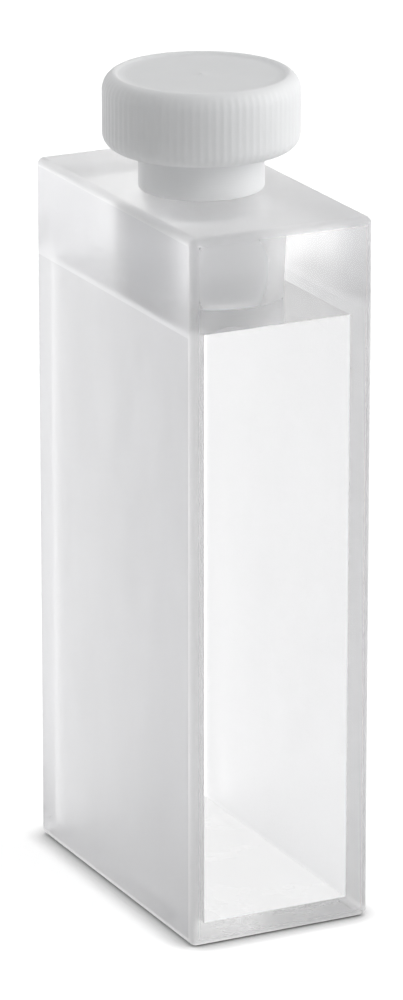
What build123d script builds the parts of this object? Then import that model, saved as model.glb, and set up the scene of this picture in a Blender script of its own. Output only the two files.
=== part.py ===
from build123d import *
import math
import os

# Stoppered quartz cell for a spectrophotometer, 20 mm light path.
# Six flat quartz pieces are fused into one upright box: a window at each end of the light
# path, a side wall left and right between them, a base plate on the floor of the chamber,
# and a solid neck block that closes its top and is bored for the stopper. The stopper is
# one turned piece: a ribbed cap, a collar that seats on the cell, and a tapered plug.
# Millimetres. The origin is the middle of the underside, +X the width, +Y the light path,
# +Z up.

# Cell: driving dimensions
LIGHT_PATH = 20.0  # between the inner faces of the two windows
INSIDE_WIDTH = 10.0  # between the inner faces of the two side walls
CELL_HEIGHT = 46.0  # underside of the base to the top face, without the stopper
WINDOW_THICKNESS = 1.25
WALL_THICKNESS = 1.25
BASE_THICKNESS = 1.25
NECK_HEIGHT = 6.3  # solid glass above the chamber
NECK_WALL = 1.25  # thinnest glass between the bore's mouth and a side wall
EDGE_RADIUS = 0.5  # fire polish on every outer edge of the box

# Stopper: driving dimensions
FIT_CLEARANCE = 0.05  # radial, between the plug and the bore
TAPER_LENGTH = 10.0  # length over which plug and bore lose 1 mm of diameter
TIP_SETBACK = 0.3  # the plug ends this far above the chamber
TIP_CHAMFER = 0.4
COLLAR_LEDGE = 0.2  # width of the collar's seat on the glass around the bore
COLLAR_HEIGHT = 2.55  # part of the stopper that shows between cell and cap
CAP_RADIUS = 6.2
CAP_HEIGHT = 4.75
CAP_TOP_ROUND = 1.2
CAP_BOTTOM_ROUND = 1.0
RIM_SETBACK = 0.7  # the top's rim lies this far inside the cap's wall
RIM_LAND = 0.1  # flat ring between the cap's round and its dished top
DISH_DEPTH = 0.15
CENTRE_MARK_RADIUS = 0.25  # small raised point left by the lathe
CENTRE_MARK_HEIGHT = 0.08
RIB_COUNT = 80
GROOVE_DEPTH = 0.06
GROOVE_SHARE = 0.7  # share of a rib's pitch that its groove takes
GROOVE_MARGIN = 0.1  # plain wall between each end of a groove and the cap's round

# Worked out from the driving dimensions
width = INSIDE_WIDTH + 2 * WALL_THICKNESS
depth = LIGHT_PATH + 2 * WINDOW_THICKNESS
chamber_top = CELL_HEIGHT - NECK_HEIGHT
edge_round = min(EDGE_RADIUS, 0.8 * min(WINDOW_THICKNESS, WALL_THICKNESS, BASE_THICKNESS))
radius_loss = 0.5 / TAPER_LENGTH  # of plug and bore, for each millimetre down
mouth_radius = INSIDE_WIDTH / 2 - NECK_WALL
plug_radius = mouth_radius - FIT_CLEARANCE
plug_length = NECK_HEIGHT - TIP_SETBACK
collar_radius = mouth_radius + COLLAR_LEDGE
cap_bottom = CELL_HEIGHT + COLLAR_HEIGHT
cap_top = cap_bottom + CAP_HEIGHT
top_arc = math.acos(1 - RIM_SETBACK / CAP_TOP_ROUND)  # turn of the cap's top round
wall_bottom = cap_bottom + CAP_BOTTOM_ROUND
wall_top = cap_top - CAP_TOP_ROUND * math.sin(top_arc)


def block(x, y, z):
    """Box between two limits along each axis."""
    size = [high - low for low, high in (x, y, z)]
    centre = [(low + high) / 2 for low, high in (x, y, z)]
    return Pos(*centre) * Box(*size)


def cell_form():
    """Outside of the whole cell: a box with all its edges rounded."""
    form = block((-width / 2, width / 2), (-depth / 2, depth / 2), (0, CELL_HEIGHT))
    return fillet(form.edges(), edge_round)


def glass_plates():
    """The five flat plates, each the part of the cell's form that lies in its own place."""
    form = cell_form()
    across = (-width / 2, width / 2)
    inside = (-INSIDE_WIDTH / 2, INSIDE_WIDTH / 2)
    path = (-LIGHT_PATH / 2, LIGHT_PATH / 2)
    upright = (0, CELL_HEIGHT)
    places = {
        "front_window": (across, (-depth / 2, path[0]), upright),
        "rear_window": (across, (path[1], depth / 2), upright),
        "left_side_wall": ((-width / 2, inside[0]), path, upright),
        "right_side_wall": ((inside[1], width / 2), path, upright),
        "base_plate": (inside, path, (0, BASE_THICKNESS)),
    }
    return {name: form & block(*place) for name, place in places.items()}


def neck_block():
    """Solid glass above the chamber, bored right through with the stopper's taper."""
    blank = block(
        (-INSIDE_WIDTH / 2, INSIDE_WIDTH / 2),
        (-LIGHT_PATH / 2, LIGHT_PATH / 2),
        (chamber_top, CELL_HEIGHT),
    )
    foot_radius = mouth_radius - radius_loss * NECK_HEIGHT
    bore = Cone(foot_radius, mouth_radius, NECK_HEIGHT)
    return blank - Pos(0, 0, CELL_HEIGHT - NECK_HEIGHT / 2) * bore


def stopper_form():
    """Turned outline of the stopper, from the plug's tip up to the dish in the cap."""
    tip = CELL_HEIGHT - plug_length
    tip_radius = plug_radius - radius_loss * (plug_length - TIP_CHAMFER)
    rim_radius = CAP_RADIUS - RIM_SETBACK
    dish_radius = rim_radius - RIM_LAND
    dish_floor = cap_top - DISH_DEPTH
    mark_top = dish_floor + CENTRE_MARK_HEIGHT
    with BuildSketch(Plane.XZ) as section:
        with BuildLine():
            Polyline(
                (0, tip),
                (tip_radius - TIP_CHAMFER, tip),
                (tip_radius, tip + TIP_CHAMFER),
                (plug_radius, CELL_HEIGHT),
                (collar_radius, CELL_HEIGHT),
                (collar_radius, cap_bottom),
                (CAP_RADIUS - CAP_BOTTOM_ROUND, cap_bottom),
            )
            RadiusArc(
                (CAP_RADIUS - CAP_BOTTOM_ROUND, cap_bottom),
                (CAP_RADIUS, wall_bottom),
                -CAP_BOTTOM_ROUND,
            )
            Line((CAP_RADIUS, wall_bottom), (CAP_RADIUS, wall_top))
            RadiusArc((CAP_RADIUS, wall_top), (rim_radius, cap_top), -CAP_TOP_ROUND)
            Polyline(
                (rim_radius, cap_top),
                (dish_radius, cap_top),
                (dish_radius - DISH_DEPTH, dish_floor),
                (CENTRE_MARK_RADIUS, dish_floor),
                (0, mark_top),
                (0, tip),
            )
        make_face()
    return revolve(section.sketch, Axis.Z)


def grip_grooves():
    """Upright V grooves round the cap, which leave the grip's ribs between them."""
    pitch = 2 * math.pi * CAP_RADIUS / RIB_COUNT
    half_width = GROOVE_SHARE * pitch / 2
    outside = CAP_RADIUS + GROOVE_DEPTH  # clear of the cap, so that no skin is left
    flare = half_width * (outside - CAP_RADIUS + GROOVE_DEPTH) / GROOVE_DEPTH
    groove = Polygon(
        (CAP_RADIUS - GROOVE_DEPTH, 0), (outside, -flare), (outside, flare), align=None
    )
    groove_bottom = wall_bottom + GROOVE_MARGIN
    groove_top = wall_top - GROOVE_MARGIN
    upright = extrude(Pos(0, 0, groove_bottom) * groove, groove_top - groove_bottom)
    half_pitch = 180 / RIB_COUNT
    return PolarLocations(0, RIB_COUNT, start_angle=half_pitch) * upright


def stopper():
    """The whole stopper, one turned and ribbed piece."""
    return stopper_form() - grip_grooves()


parts = glass_plates()
parts["neck_block"] = neck_block()
parts["stopper"] = stopper()

os.makedirs("parts", exist_ok=True)
for name, part in parts.items():
    solid = part.solids()[0] if len(part.solids()) == 1 else part
    export_step(solid, f"parts/{name}.step")

print(f"cell {width:.2f} x {depth:.2f} x {CELL_HEIGHT:.2f} mm, {cap_top:.2f} mm with its stopper")
print(f"bore {2 * mouth_radius:.2f} mm at the mouth, plug {2 * plug_radius:.2f} x {plug_length:.2f} mm")
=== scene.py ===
# %% [markdown]
# A stoppered quartz cell
#
# The object is a small upright box of fused quartz that holds a liquid in a beam of light, and a
# white stopper turned from PTFE. The frame gives the cell as six plates and the stopper as one
# turned part, at their real sizes. This script gives them the look of the real ones: clear and
# ground quartz, a finely ribbed waxy plastic, a white table and the soft light of a studio.

# %% Load the frame
import math

import bmesh
import bpy
import numpy as np
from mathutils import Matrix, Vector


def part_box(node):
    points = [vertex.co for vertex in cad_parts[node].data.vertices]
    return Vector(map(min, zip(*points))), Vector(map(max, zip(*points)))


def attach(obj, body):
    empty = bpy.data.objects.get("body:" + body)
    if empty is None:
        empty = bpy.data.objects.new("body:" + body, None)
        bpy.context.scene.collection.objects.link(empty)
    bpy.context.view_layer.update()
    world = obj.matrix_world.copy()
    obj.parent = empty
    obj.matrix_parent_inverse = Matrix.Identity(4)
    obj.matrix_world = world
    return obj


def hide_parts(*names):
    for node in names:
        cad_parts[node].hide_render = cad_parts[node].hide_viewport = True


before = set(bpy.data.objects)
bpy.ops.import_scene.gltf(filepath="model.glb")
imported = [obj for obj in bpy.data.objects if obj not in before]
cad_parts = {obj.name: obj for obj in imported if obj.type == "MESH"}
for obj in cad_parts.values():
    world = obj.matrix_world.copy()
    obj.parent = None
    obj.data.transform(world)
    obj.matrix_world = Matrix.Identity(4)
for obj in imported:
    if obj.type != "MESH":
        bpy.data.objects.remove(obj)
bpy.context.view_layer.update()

MM = 0.001  # Blender works in metres, and sizes below are in millimetres unless they say otherwise
print("nodes:", ", ".join(sorted(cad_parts)))

# %% [markdown]
# Sizes come from the frame, so that the glass always fits the plates that it stands for. A plate's
# box gives where its faces are. The bore and the stopper are measured on their vertices, as the
# distance of each from the axis of the cell. A small round or land doesn't show in a box, so such
# sizes are written out where they are needed.

# %% Read the sizes of the cell
SAME_LEVEL = 0.01  # less than this apart in height counts as level
EDGE_ROUND = 0.5  # fire-polished edges of the box


def node_span(name, axis):
    """Lowest and highest coordinate of a node along one axis, in millimetres."""
    low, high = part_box(name)
    return low[axis] / MM, high[axis] / MM


def node_points(name):
    """The vertices of a node as rows of x, y, z in millimetres."""
    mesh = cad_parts[name].data
    flat = np.zeros(len(mesh.vertices) * 3)
    mesh.vertices.foreach_get("co", flat)
    return flat.reshape(-1, 3) / MM


X, Y, Z = range(3)
half_width = node_span("front_window", X)[1]
half_depth = node_span("rear_window", Y)[1]
cell_height = node_span("front_window", Z)[1]
chamber_half_width = node_span("base_plate", X)[1]
chamber_half_depth = node_span("base_plate", Y)[1]
chamber_floor = node_span("base_plate", Z)[1]
chamber_top = node_span("neck_block", Z)[0]
block_points = node_points("neck_block")
block_radii = np.hypot(block_points[:, X], block_points[:, Y])
at_top = block_points[:, Z] > cell_height - SAME_LEVEL
mouth_radius = block_radii[at_top].min()
foot_radius = block_radii[~at_top].min()
print(f"cell {2 * half_width:.2f} x {2 * half_depth:.2f} x {cell_height:.2f} mm")
print(f"bore {mouth_radius:.3f} mm at the mouth, {foot_radius:.3f} mm at the foot, in radius")

# %% [markdown]
# Every piece here is a stack of closed rings, each with the same number of points, so one function
# can turn an array of rings into a mesh. Faces join each ring to the next one. Doubled points, as
# where a ring shrinks to a corner or to the middle of a face, are merged afterwards.

# %% Turn rings into a mesh
SAME_POINT = 0.0005  # points nearer than this are one point


def merge_doubles(mesh):
    """Merges points that lie on one another, which closes seams and poles."""
    work = bmesh.new()
    work.from_mesh(mesh)
    bmesh.ops.remove_doubles(work, verts=work.verts, dist=SAME_POINT * MM)
    bmesh.ops.dissolve_degenerate(work, edges=work.edges, dist=SAME_POINT * MM)
    work.to_mesh(mesh)
    work.free()
    mesh.update()


def mesh_from_rings(name, rings, materials, smooth, slots=None):
    """Object from rings, an array (rings, points, 3) in millimetres. Point j of a ring joins points j
    and j + 1 of the next. smooth and slots say for each face whether it is shaded round and which
    material it has. Doubled points are merged, and faces point out where the rings turn
    anticlockwise seen from where the stack leads."""
    count, around = rings.shape[:2]
    ring, point = np.meshgrid(np.arange(count - 1), np.arange(around), indexing="ij")
    next_point = (point + 1) % around
    corners = np.stack(
        [
            ring * around + point,
            ring * around + next_point,
            (ring + 1) * around + next_point,
            (ring + 1) * around + point,
        ],
        axis=-1,
    ).reshape(-1, 4)
    mesh = bpy.data.meshes.new(name)
    mesh.from_pydata(rings.reshape(-1, 3) * MM, [], corners)
    for material in materials:
        mesh.materials.append(material)
    mesh.polygons.foreach_set("use_smooth", np.broadcast_to(smooth, ring.shape).ravel())
    if slots is not None:
        mesh.polygons.foreach_set("material_index", slots.ravel().astype(np.int32))
    merge_doubles(mesh)
    piece = bpy.data.objects.new(name, mesh)
    bpy.context.scene.collection.objects.link(piece)
    print(f"{name}: {len(mesh.polygons)} faces")
    return piece


# %% [markdown]
# Colours are written as they look on a screen, and Blender computes with linear light, so one
# function turns one into the other. A second one adds a node, sets it up and links it, and every
# material below is a short list of such nodes.

# %% Helpers for materials


def linear(hex_colour):
    """Linear RGBA of an sRGB colour written as six hex digits."""
    shown = np.array([int(hex_colour[i : i + 2], 16) for i in (0, 2, 4)]) / 255
    light = np.where(shown <= 0.04045, shown / 12.92, ((shown + 0.055) / 1.055) ** 2.4)
    return (*light.tolist(), 1.0)


def add_node(tree, kind, inputs=None, **settings):
    """New node with its settings. Each input is a number or colour, or a socket to link from."""
    made = tree.nodes.new(kind)
    for name, value in settings.items():
        setattr(made, name, value)
    for socket, value in (inputs or {}).items():
        if isinstance(value, bpy.types.NodeSocket):
            tree.links.new(value, made.inputs[socket])
        else:
            made.inputs[socket].default_value = value
    return made


def new_material(name):
    """Empty material and its node tree, with the output node in it."""
    material = bpy.data.materials.new(name)
    material.use_nodes = True
    material.node_tree.nodes.clear()
    output = add_node(material.node_tree, "ShaderNodeOutputMaterial")
    return material, material.node_tree, output


# %% [markdown]
# The cell is fused silica, melted quartz: a very clear glass with an index of 1.4585. It has six
# finishes. The windows and the chamber's floor and roof are polished. The underside is lapped on
# a plate. The top, the rounded edges and the chamber's side faces are satin, which is a fine
# grinding. The outer side faces, which the beam doesn't cross, are ground, a little finer beside
# the neck block, and the bore is ground with a coarser grit. They are all the same glass with
# another roughness, so one function makes them. The outer side faces are grey as well, partly for
# the light that a ground face keeps and partly as painted shade that dims them. Beside the neck
# block their grey is lighter, which is painted light for the brighter light that comes through
# the block. The bore is so coarse that part of its light leaves it in all directions, as from
# chalk, which is its matt share and softens the plug's outline. A Glass node has no matt share, so
# the Principled shader is used for all six. The noise is the trace of the work: wiping marks on a
# polish, clouds of uneven grinding.

# %% Quartz in six finishes
QUARTZ_IOR = 1.4585
UPRIGHT_SCALE = 0.4  # below 1, so that the traces are longer upright than across
TRACE_LOW, TRACE_HIGH = 0.35, 0.7  # most of the noise lies between these
TOOTH_WIDTH = 0.1  # several times the real grit, so that it shows at all


def quartz_finish(name, colour, clear, smooth, rough, trace_length, tooth_depth):
    """Glass whose roughness wanders between two values; clear is 1 less its matt share. The trace is
    noise stretched upright with patches of trace_length, and the tooth is a fine bump; both
    lengths are in mm."""
    material, tree, output = new_material(name)
    place = add_node(tree, "ShaderNodeTexCoord").outputs["Object"]
    upright = add_node(
        tree, "ShaderNodeMapping", {"Vector": place, "Scale": (1, 1, UPRIGHT_SCALE)}
    ).outputs["Vector"]
    trace = add_node(
        tree,
        "ShaderNodeTexNoise",
        {"Vector": upright, "Scale": 1 / (trace_length * MM), "Detail": 4.0, "Roughness": 0.6},
    ).outputs["Fac"]
    roughness = add_node(
        tree,
        "ShaderNodeMapRange",
        {
            "Value": trace,
            "From Min": TRACE_LOW,
            "From Max": TRACE_HIGH,
            "To Min": smooth,
            "To Max": rough,
        },
    ).outputs["Result"]
    tooth = add_node(
        tree,
        "ShaderNodeTexNoise",
        {"Vector": place, "Scale": 1 / (TOOTH_WIDTH * MM), "Detail": 3.0, "Roughness": 0.7},
    ).outputs["Fac"]
    bump = add_node(
        tree, "ShaderNodeBump", {"Height": tooth, "Strength": 1.0, "Distance": tooth_depth * MM}
    ).outputs["Normal"]
    shader = add_node(
        tree,
        "ShaderNodeBsdfPrincipled",
        {
            "Base Color": linear(colour),
            "Roughness": roughness,
            "IOR": QUARTZ_IOR,
            "Transmission Weight": clear,
            "Normal": bump,
        },
    )
    tree.links.new(shader.outputs["BSDF"], output.inputs["Surface"])
    print("finish:", name)
    return material


polished = quartz_finish("polished_quartz", "fefefe", 1.0, 0.0, 0.012, 6.0, 0.0)
lapped = quartz_finish("lapped_quartz", "fefefe", 1.0, 0.26, 0.32, 4.0, 0.0003)
satin = quartz_finish("satin_quartz", "fefefe", 1.0, 0.36, 0.42, 3.0, 0.0006)
# grey: partly painted shade that dims the ground side faces
ground = quartz_finish("ground_quartz", "dedee0", 1.0, 0.5, 0.58, 4.0, 0.001)
# lighter grey than the finish above: painted light on the side faces beside the neck block
lighter_ground = quartz_finish("fine_ground_quartz", "eeeef0", 1.0, 0.44, 0.5, 4.0, 0.001)
coarse = quartz_finish("coarse_quartz", "fdfdfe", 0.6, 0.56, 0.64, 2.0, 0.001)

# %% [markdown]
# Six plates that touch face to face would show every seam as a mirror, because light would leave
# one plate and enter the next. The real cell is fused into one piece, so the glass is one closed
# surface here. It could be cut from a box with Boolean modifiers, which leave long thin faces
# round a bore, so it is a single path of rings instead: out from the middle of the underside, up
# the sides over the rounded edges, in across the top, down the bore, out across the block's
# underside, down the chamber's walls and in across its floor. A ring level with the chamber's
# top parts the sides in two strips, because the finish changes there.

# %% Rings of the glass
QUARTER_POINTS = 48  # points in a quarter of each ring
ROUND_RINGS = 12  # rings in a quarter of an edge's round


def corner_ring(half_x, half_y, radius, z):
    """A closed ring at height z. In each quarter turn the point is a corner, at half_x and half_y from
    the axis, plus radius times the direction, so it is a circle when both halves are 0, a
    rectangle when the radius is 0, and a rectangle with rounded corners otherwise."""
    quarter = np.linspace(0, math.pi / 2, QUARTER_POINTS)
    turn = np.concatenate([quarter + k * math.pi / 2 for k in range(4)])
    side_x = np.repeat([1, -1, -1, 1], QUARTER_POINTS)
    side_y = np.repeat([1, 1, -1, -1], QUARTER_POINTS)
    return np.stack(
        [
            side_x * half_x + radius * np.cos(turn),
            side_y * half_y + radius * np.sin(turn),
            np.full_like(turn, z),
        ],
        axis=-1,
    )


def edge_angles(start, end):
    """Angles of a quarter of a round, closer together at both ends, where it meets flat faces."""
    share = (1 - np.cos(np.linspace(0, math.pi, ROUND_RINGS))) / 2
    return start + (end - start) * share


def glass_rings():
    """Rings of the whole cell, and for each gap between two rings the kind of face that fills it."""
    inner_x = half_width - EDGE_ROUND
    inner_y = half_depth - EDGE_ROUND
    rings = [corner_ring(0, 0, 0, 0), corner_ring(inner_x, inner_y, 0, 0)]
    kinds = ["underside"]
    for angle in edge_angles(-math.pi / 2, 0)[1:]:
        height = EDGE_ROUND * (1 + math.sin(angle))
        rings.append(corner_ring(inner_x, inner_y, EDGE_ROUND * math.cos(angle), height))
        kinds.append("round")
    rings.append(corner_ring(inner_x, inner_y, EDGE_ROUND, chamber_top))
    kinds.append("side")
    for angle in edge_angles(0, math.pi / 2):
        height = cell_height - EDGE_ROUND * (1 - math.sin(angle))
        rings.append(corner_ring(inner_x, inner_y, EDGE_ROUND * math.cos(angle), height))
        kinds.append("shoulder" if angle == 0 else "round")
    rings.append(corner_ring(0, 0, mouth_radius, cell_height))
    rings.append(corner_ring(0, 0, foot_radius, chamber_top))
    rings.append(corner_ring(chamber_half_width, chamber_half_depth, 0, chamber_top))
    rings.append(corner_ring(chamber_half_width, chamber_half_depth, 0, chamber_floor))
    rings.append(corner_ring(0, 0, 0, chamber_floor))
    kinds += ["top", "bore", "roof", "chamber", "floor"]
    return np.array(rings), np.array(kinds)


# %% [markdown]
# Flat faces are shaded flat, and the rounded edges and the bore are shaded smooth. Between two
# corners of a ring there is one wide face, which looks along X or along Y. That, and the kind of
# its strip, say which finish a face has: polished, unless a line below gives it another.

# %% Make the glass
rings, kinds = glass_rings()
column = np.arange(4 * QUARTER_POINTS)
is_wide = (column + 1) % QUARTER_POINTS == 0
looks_x = is_wide & (column // QUARTER_POINTS % 2 == 1)
kind = kinds[:, None]
is_corner = np.isin(kind, ["side", "shoulder"]) & ~is_wide
is_smooth = np.isin(kind, ["round", "bore"]) | is_corner
is_satin = np.isin(kind, ["top", "round"]) | is_corner | ((kind == "chamber") & looks_x)
# side faces below the block get the grey with painted shade, those beside it the lighter grey with
# painted light
is_ground = (kind == "side") & looks_x
is_lighter_ground = (kind == "shoulder") & looks_x
is_coarse = kind == "bore"
is_lapped = kind == "underside"
finishes = [polished, satin, ground, coarse, lapped, lighter_ground]
finish_slot = is_satin + 2 * is_ground + 3 * is_coarse + 4 * is_lapped + 5 * is_lighter_ground
cell_glass = mesh_from_rings("cell_glass", rings, finishes, is_smooth, finish_slot)
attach(cell_glass, "cell")
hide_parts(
    "front_window",
    "rear_window",
    "left_side_wall",
    "right_side_wall",
    "base_plate",
    "neck_block",
)

# %% [markdown]
# PTFE is a white, waxy plastic. Light goes a little way into it before it comes back, so its shadows
# are soft and its thin edges glow. A plain white shader would make it look like chalk, so it has
# subsurface scattering. It is turned on a lathe, which leaves fine rings: circles on the flat top,
# and lines round the collar. They are too fine for geometry, so they are a bump.

# %% Turning marks
TURNING_PITCH = 0.16  # drawn twice as coarse as a real finishing cut, so that it shows
MARK_DEPTH = 0.003
MARK_STRENGTH = 0.25


def turning_marks(tree, place):
    """Normal with fine turning marks, a sine of distance from the axis plus height, so that they are
    rings on the top and on the collar."""
    split = add_node(tree, "ShaderNodeSeparateXYZ", {"Vector": place}).outputs
    flat_place = add_node(
        tree, "ShaderNodeCombineXYZ", {"X": split["X"], "Y": split["Y"]}
    ).outputs["Vector"]
    radius = add_node(
        tree, "ShaderNodeVectorMath", {0: flat_place}, operation="LENGTH"
    ).outputs["Value"]
    travel = add_node(
        tree, "ShaderNodeMath", {0: radius, 1: split["Z"]}, operation="ADD"
    ).outputs["Value"]
    phase = add_node(
        tree, "ShaderNodeMath", {0: travel, 1: math.tau / (TURNING_PITCH * MM)}, operation="MULTIPLY"
    ).outputs["Value"]
    marks = add_node(tree, "ShaderNodeMath", {0: phase}, operation="SINE").outputs["Value"]
    return add_node(
        tree,
        "ShaderNodeBump",
        {"Height": marks, "Strength": MARK_STRENGTH, "Distance": MARK_DEPTH * MM},
    ).outputs["Normal"]


# %% White PTFE
PTFE_IOR = 1.35
CLOUD_SIZE = 2.5  # of the soft clouds in colour and roughness
CLOUD_LOW, CLOUD_HIGH = 0.3, 0.7  # most of the noise lies between these
PTFE_SMOOTH, PTFE_ROUGH = 0.38, 0.5  # roughness at the two ends of the clouds
LIGHT_DEPTH = 0.9  # how far light goes into the plastic


def turned_ptfe():
    """Waxy white plastic whose colour and roughness follow soft clouds, under the turning marks."""
    material, tree, output = new_material("turned_ptfe")
    place = add_node(tree, "ShaderNodeTexCoord").outputs["Object"]
    clouds = add_node(
        tree,
        "ShaderNodeTexNoise",
        {"Vector": place, "Scale": 1 / (CLOUD_SIZE * MM), "Detail": 3.0, "Roughness": 0.55},
    ).outputs["Fac"]
    tint = add_node(
        tree,
        "ShaderNodeMix",
        {"Factor": clouds, 6: linear("f3f4f5"), 7: linear("eeeff0")},
        data_type="RGBA",
    ).outputs[2]
    roughness = add_node(
        tree,
        "ShaderNodeMapRange",
        {
            "Value": clouds,
            "From Min": CLOUD_LOW,
            "From Max": CLOUD_HIGH,
            "To Min": PTFE_SMOOTH,
            "To Max": PTFE_ROUGH,
        },
    ).outputs["Result"]
    shader = add_node(
        tree,
        "ShaderNodeBsdfPrincipled",
        {
            "Base Color": tint,
            "Roughness": roughness,
            "IOR": PTFE_IOR,
            "Subsurface Weight": 1.0,
            "Subsurface Radius": (LIGHT_DEPTH * MM, LIGHT_DEPTH * MM, LIGHT_DEPTH * MM),
            "Subsurface Scale": 1.0,
            "Normal": turning_marks(tree, place),
        },
    )
    tree.links.new(shader.outputs["BSDF"], output.inputs["Surface"])
    return material


ptfe = turned_ptfe()
print("material:", ptfe.name)

# %% [markdown]
# The stopper is a cap that stands proud of the neck, a collar that seats on the glass, and a plug
# with the bore's own taper. The Spin tool or a Screw modifier could turn its outline round the
# axis. Here the turned outline is again a stack of rings, because a ring can also carry the ribs.

# %% Sizes of the stopper
CAP_HEIGHT = 4.75
CAP_TOP_ROUND = 1.2
CAP_BOTTOM_ROUND = 1.0
RIM_SETBACK = 0.7  # the top's rim lies this far inside the cap's wall
RIM_LAND = 0.1  # flat ring between the cap's round and its dished top
DISH_DEPTH = 0.15
DISH_SLOPE = 1.6  # width of the slope into the dish, in dish depths
CENTRE_MARK_RADIUS = 0.25  # small raised point left by the lathe
CENTRE_MARK_HEIGHT = 0.08
COLLAR_LEDGE = 0.2  # width of the collar's seat on the glass
COLLAR_FOOT_ROUND = 0.12  # where the lathe tool broke the edge
SEAT_GAP = 0.01  # air between collar and glass, so that the two faces don't coincide
FIT_CLEARANCE = 0.05  # between plug and bore, in radius
TIP_CHAMFER = 0.4

stopper_points = node_points("stopper")
stopper_radii = np.hypot(stopper_points[:, X], stopper_points[:, Y])
cap_radius = stopper_radii.max()
tip_height, cap_top = node_span("stopper", Z)
cap_bottom = cap_top - CAP_HEIGHT
top_arc = math.acos(1 - RIM_SETBACK / CAP_TOP_ROUND)  # turn of the cap's top round
plug_radius = mouth_radius - FIT_CLEARANCE
radius_loss = (mouth_radius - foot_radius) / (cell_height - chamber_top)
tip_radius = plug_radius - radius_loss * (cell_height - tip_height - TIP_CHAMFER)
collar_radius = mouth_radius + COLLAR_LEDGE
print(f"stopper: cap radius {cap_radius:.2f} mm, from {tip_height:.2f} to {cap_top:.2f} mm")

# %% Outline of the stopper


def stretch(start, end, steps):
    """Points on a straight line of the outline, without its last one."""
    share = np.arange(steps)[:, None] / steps
    return np.array(start) + (np.array(end) - np.array(start)) * share


def bend(centre, radius, start_deg, end_deg, steps):
    """Points on an arc of the outline, without its last one, by angle from the outward direction."""
    angle = np.radians(np.linspace(start_deg, end_deg, steps, endpoint=False))
    return np.array(centre) + radius * np.stack([np.cos(angle), np.sin(angle)], axis=-1)


def stopper_outline():
    """Radius and height along the outline, from the tip's middle up to the middle of the top."""
    seat = cell_height + SEAT_GAP
    foot_edge = collar_radius - COLLAR_FOOT_ROUND
    foot_top = seat + COLLAR_FOOT_ROUND
    wall_bottom = cap_bottom + CAP_BOTTOM_ROUND
    wall_top = cap_top - CAP_TOP_ROUND * math.sin(top_arc)
    bottom_edge = cap_radius - CAP_BOTTOM_ROUND
    top_centre = cap_radius - CAP_TOP_ROUND
    rim = cap_radius - RIM_SETBACK
    dish_edge = rim - RIM_LAND
    slope_foot = dish_edge - DISH_SLOPE * DISH_DEPTH
    dish_floor = cap_top - DISH_DEPTH
    return np.concatenate(
        [
            stretch((0, tip_height), (tip_radius - TIP_CHAMFER, tip_height), 2),
            stretch((tip_radius - TIP_CHAMFER, tip_height), (tip_radius, tip_height + TIP_CHAMFER), 2),
            stretch((tip_radius, tip_height + TIP_CHAMFER), (plug_radius, seat), 6),
            stretch((plug_radius, seat), (foot_edge, seat), 2),
            bend((foot_edge, foot_top), COLLAR_FOOT_ROUND, -90, 0, 5),
            stretch((collar_radius, foot_top), (collar_radius, cap_bottom), 6),
            stretch((collar_radius, cap_bottom), (bottom_edge, cap_bottom), 4),
            bend((bottom_edge, wall_bottom), CAP_BOTTOM_ROUND, -90, 0, 14),
            stretch((cap_radius, wall_bottom), (cap_radius, wall_top), 10),
            bend((top_centre, wall_top), CAP_TOP_ROUND, 0, math.degrees(top_arc), 16),
            stretch((rim, cap_top), (dish_edge, cap_top), 3),
            stretch((dish_edge, cap_top), (slope_foot, dish_floor), 3),
            stretch((slope_foot, dish_floor), (CENTRE_MARK_RADIUS, dish_floor), 10),
            stretch((CENTRE_MARK_RADIUS, dish_floor), (0, dish_floor + CENTRE_MARK_HEIGHT), 3),
            [(0, dish_floor + CENTRE_MARK_HEIGHT)],
        ]
    )


# %% [markdown]
# The grip is 80 shallow grooves in the cap's wall. An Array modifier could repeat one rib, but a
# formula makes them all in one closed surface. A groove is taken off the radius by a smooth wave
# in the turn angle, and it fades out where the wall curves over into the top and the underside.

# %% Turn and rib the stopper
RIB_COUNT = 80
RIB_POINTS = 12  # points round the cap for each rib
GROOVE_DEPTH = 0.03  # worn and rounded to half the cut depth
FADE_ANGLE = math.radians(50)  # along the rounds, where the grooves have run out
SHARP_ANGLE = math.radians(40)  # an edge that turns by more than this stays sharp


def stopper_rings(outline):
    """Rings of the stopper. The radius is the outline's, less the groove's depth times a wave in the
    turn angle, times a share that is 1 on the cap's wall and 0 away from it. The share falls as a
    square root, so that a groove ends in a round."""
    radius, height = outline[:, 0:1], outline[:, 1:2]
    turn = np.arange(RIB_COUNT * RIB_POINTS) / (RIB_COUNT * RIB_POINTS) * math.tau
    wave = (1 - np.cos(turn * RIB_COUNT)) / 2
    run_out = cap_radius - (1 - math.cos(FADE_ANGLE)) * CAP_TOP_ROUND
    share = np.sqrt(np.clip((radius - run_out) / (cap_radius - run_out), 0, 1))
    grooved = radius - GROOVE_DEPTH * wave * share
    return np.stack(
        [grooved * np.cos(turn), grooved * np.sin(turn), height + 0 * turn], axis=-1
    )


stopper = mesh_from_rings("ribbed_stopper", stopper_rings(stopper_outline()), [ptfe], True)
stopper.data.set_sharp_from_angle(angle=SHARP_ANGLE)
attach(stopper, "stopper")
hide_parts("stopper")

# %% [markdown]
# The table is a plain white sheet. In a photograph like this one it is so bright that it is white
# itself, and only the cell's shadow shows. Stronger lamps could make it so, but they would bleach
# the stopper too. So the sheet is matt white and has light of its own for what the camera sees.
# The Light Path node tells such light from the light that falls on the cell.

# %% Light that the camera sees


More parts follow.
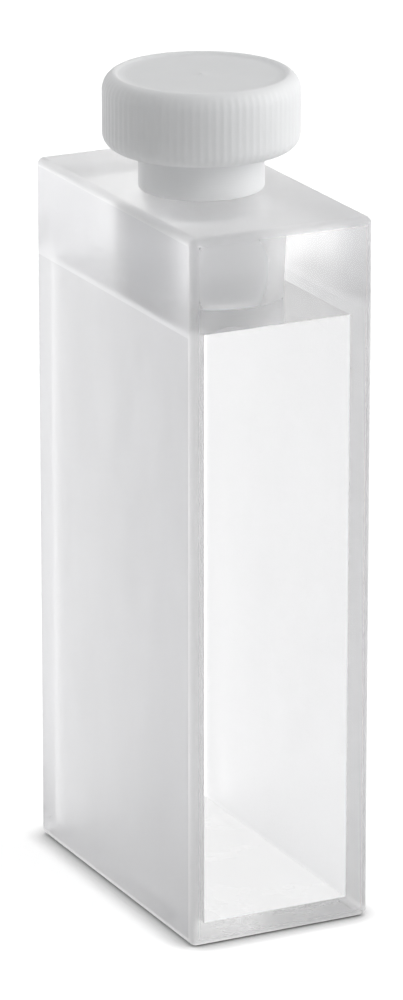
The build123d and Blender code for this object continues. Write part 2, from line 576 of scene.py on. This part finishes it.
def seen_rays(tree):
    """Socket that is 1 for light that reaches the camera straight, mirrored or through glass."""
    path = add_node(tree, "ShaderNodeLightPath").outputs
    shown = add_node(
        tree,
        "ShaderNodeMath",
        {0: path["Is Camera Ray"], 1: path["Is Glossy Ray"]},
        operation="MAXIMUM",
    ).outputs["Value"]
    return add_node(
        tree, "ShaderNodeMath", {0: shown, 1: path["Is Transmission Ray"]}, operation="MAXIMUM"
    ).outputs["Value"]


# %% [markdown]
# A clear cell throws only a faint shadow, but a thin dark line stands along its foot. An Ambient
# Occlusion node, which measures how near other surfaces stand, adds that line.

# %% Shadow along the foot
SHADE_REACH = 1.5
SHADE_SAMPLES = 12


def contact_shade(tree):
    """Socket that is 1 on the open table and falls towards 0 where the cell stands close. Only light
    that reaches the camera straight is shaded, because glass lets light in under the cell."""
    nearby = add_node(
        tree, "ShaderNodeAmbientOcclusion", {"Distance": SHADE_REACH * MM}, samples=SHADE_SAMPLES
    ).outputs["AO"]
    straight = add_node(tree, "ShaderNodeLightPath").outputs["Is Camera Ray"]
    return add_node(
        tree, "ShaderNodeMix", {"Factor": straight, "A": 1.0, "B": nearby}, data_type="FLOAT"
    ).outputs["Result"]


# %% [markdown]
# The sheet's own light has two levels. Seen straight, it adds to the room's light on the sheet. It
# is higher where the sheet is mirrored or seen through the glass, because the cell keeps part of
# the room's light off it there. The faint grain is that of paper.

# %% White sheet
GRAIN_SIZE = 3.0  # coarser than that of real paper, so that it can show at all
SHEET_GLOW = 0.66  # where the camera sees the sheet straight
GLASS_GLOW = 0.78  # where it is mirrored, or seen through the glass


def white_sheet():
    """Matt white with a faint grain, and enough light of its own to reach white."""
    material, tree, output = new_material("white_sheet")
    place = add_node(tree, "ShaderNodeTexCoord").outputs["Object"]
    grain = add_node(
        tree, "ShaderNodeTexNoise", {"Vector": place, "Scale": 1 / (GRAIN_SIZE * MM), "Detail": 2.0}
    ).outputs["Fac"]
    tint = add_node(
        tree,
        "ShaderNodeMix",
        {"Factor": grain, 6: linear("e9e9e9"), 7: linear("e6e6e6")},
        data_type="RGBA",
    ).outputs[2]
    shade = contact_shade(tree)
    shaded_tint = add_node(
        tree, "ShaderNodeVectorMath", {0: tint, "Scale": shade}, operation="SCALE"
    ).outputs["Vector"]
    matt = add_node(tree, "ShaderNodeBsdfDiffuse", {"Color": shaded_tint}).outputs["BSDF"]
    in_glass = add_node(
        tree, "ShaderNodeMath", {0: seen_rays(tree), 1: GLASS_GLOW}, operation="MULTIPLY"
    ).outputs["Value"]
    straight = add_node(tree, "ShaderNodeLightPath").outputs["Is Camera Ray"]
    open_glow = add_node(
        tree,
        "ShaderNodeMath",
        {0: straight, 1: SHEET_GLOW - GLASS_GLOW, 2: in_glass},
        operation="MULTIPLY_ADD",
    ).outputs["Value"]
    glow = add_node(
        tree, "ShaderNodeMath", {0: open_glow, 1: shade}, operation="MULTIPLY"
    ).outputs["Value"]
    own = add_node(
        tree, "ShaderNodeEmission", {"Color": (1, 1, 1, 1), "Strength": glow}
    ).outputs["Emission"]
    both = add_node(tree, "ShaderNodeAddShader", {0: matt, 1: own}).outputs["Shader"]
    tree.links.new(both, output.inputs["Surface"])
    return material


# %% Table
TABLE_HALF = 1.5  # metres
TABLE_GAP = 0.02  # air under the cell, so that the two faces don't coincide

table_mesh = bpy.data.meshes.new("table")
square = np.array([(-1, -1, 0), (1, -1, 0), (1, 1, 0), (-1, 1, 0)]) * TABLE_HALF
table_mesh.from_pydata(square - (0, 0, TABLE_GAP * MM), [], [(0, 1, 2, 3)])
table_mesh.materials.append(white_sheet())
table = bpy.data.objects.new("table", table_mesh)
bpy.context.scene.collection.objects.link(table)
print(f"table: {2 * TABLE_HALF:.1f} m square, {TABLE_GAP:.2f} mm under the cell")

# %% [markdown]
# The light is a studio with two large soft lights, one on the right and a weaker one behind on the
# left. Area lamps would show in the glass as hard bright patches, so the world itself is the
# light. Its brightness is a constant plus one lobe for each light, a power of how near a
# direction is to the light's own. Glass and gloss show the white walls and ceiling of the room,
# so mirrored and refracted light sees a second, flatter set of lobes.

# %% Brightness by direction
world = bpy.data.worlds.new("studio")
bpy.context.scene.world = world
world.use_nodes = True
sky = world.node_tree
sky.nodes.clear()
direction = add_node(sky, "ShaderNodeTexCoord").outputs["Generated"]


def lobes(constant, lights):
    """Socket with constant, plus for each light its strength times a power of the cosine towards it."""
    total = constant
    for towards, strength, sharpness in lights:
        unit = np.array(towards) / np.linalg.norm(towards)
        cosine = add_node(
            sky, "ShaderNodeVectorMath", {0: direction, 1: unit.tolist()}, operation="DOT_PRODUCT"
        ).outputs["Value"]
        facing = add_node(sky, "ShaderNodeMath", {0: cosine, 1: 0.0}, operation="MAXIMUM").outputs[0]
        lobe = add_node(sky, "ShaderNodeMath", {0: facing, 1: sharpness}, operation="POWER").outputs[0]
        total = add_node(
            sky, "ShaderNodeMath", {0: lobe, 1: strength, 2: total}, operation="MULTIPLY_ADD"
        ).outputs[0]
    return total


def blend_levels(share, first, second):
    """Socket with first where share is 0 and second where it is 1."""
    return add_node(
        sky, "ShaderNodeMix", {"Factor": share, "A": first, "B": second}, data_type="FLOAT"
    ).outputs["Result"]


# %% World
ROOM_LIGHT = 0.21
WALL_LIGHT = 0.735
# Each light or wall: its direction, strength and sharpness.
SOFT_LIGHTS = [((0.78, -0.5, 0.33), 3.2, 3.5), ((-0.45, 0.83, 0.32), 1.5, 3.8)]
BRIGHT_WALLS = [((0.9, -0.3, 0.3), 0.5, 2.0), ((0.0, 0.0, 1.0), 0.6, 1.5)]

lit = blend_levels(seen_rays(sky), lobes(ROOM_LIGHT, SOFT_LIGHTS), lobes(WALL_LIGHT, BRIGHT_WALLS))
straight = add_node(sky, "ShaderNodeLightPath").outputs["Is Camera Ray"]
level = blend_levels(straight, lit, 1.0)
background = add_node(sky, "ShaderNodeBackground", {"Strength": level}).outputs["Background"]
add_node(sky, "ShaderNodeOutputWorld", {"Surface": background})
print("world: white to the camera, with", len(SOFT_LIGHTS), "soft lights")

# %% [markdown]
# The camera looks down at the near vertical edge of the cell from the left. A short lens close by
# would make the upright edges lean, so it has a long lens, which keeps them nearly parallel.

# %% Camera
CAMERA_DISTANCE = 373.4
CAMERA_AZIMUTH = -26.4  # degrees, 0 looks along +Y
CAMERA_ELEVATION = 17.98  # degrees
LOOK_AT = (0.0, 0.0, 25.4)
LENS = 212.0  # for a picture whose long side is the sensor's 36 mm
NEAREST = 10.0  # nothing nearer to the camera than this is drawn

azimuth = math.radians(CAMERA_AZIMUTH)
elevation = math.radians(CAMERA_ELEVATION)
back = np.array(
    [
        math.sin(azimuth) * math.cos(elevation),
        -math.cos(azimuth) * math.cos(elevation),
        math.sin(elevation),
    ]
)
camera_data = bpy.data.cameras.new("camera")
camera_data.lens = LENS
camera_data.clip_start = NEAREST * MM
camera = bpy.data.objects.new("camera", camera_data)
bpy.context.scene.collection.objects.link(camera)
camera.location = (np.array(LOOK_AT) + back * CAMERA_DISTANCE) * MM
camera.rotation_euler = (math.pi / 2 - elevation, 0, azimuth)
bpy.context.scene.camera = camera
bpy.context.scene.view_settings.view_transform = "Standard"
print("camera at", [round(value / MM, 1) for value in camera.location], "mm")

# %% [markdown]
# Light that is caught in a plate of glass is mirrored a dozen times before it gets out. Blender stops
# following it after four mirrorings, which would leave such plates black, so it may take more.

# %% Light paths
ALL_BOUNCES = 32
GLASS_BOUNCES = 24

paths = bpy.context.scene.cycles
paths.max_bounces = ALL_BOUNCES
paths.glossy_bounces = GLASS_BOUNCES
paths.transmission_bounces = GLASS_BOUNCES
print("light is followed through", ALL_BOUNCES, "bounces")
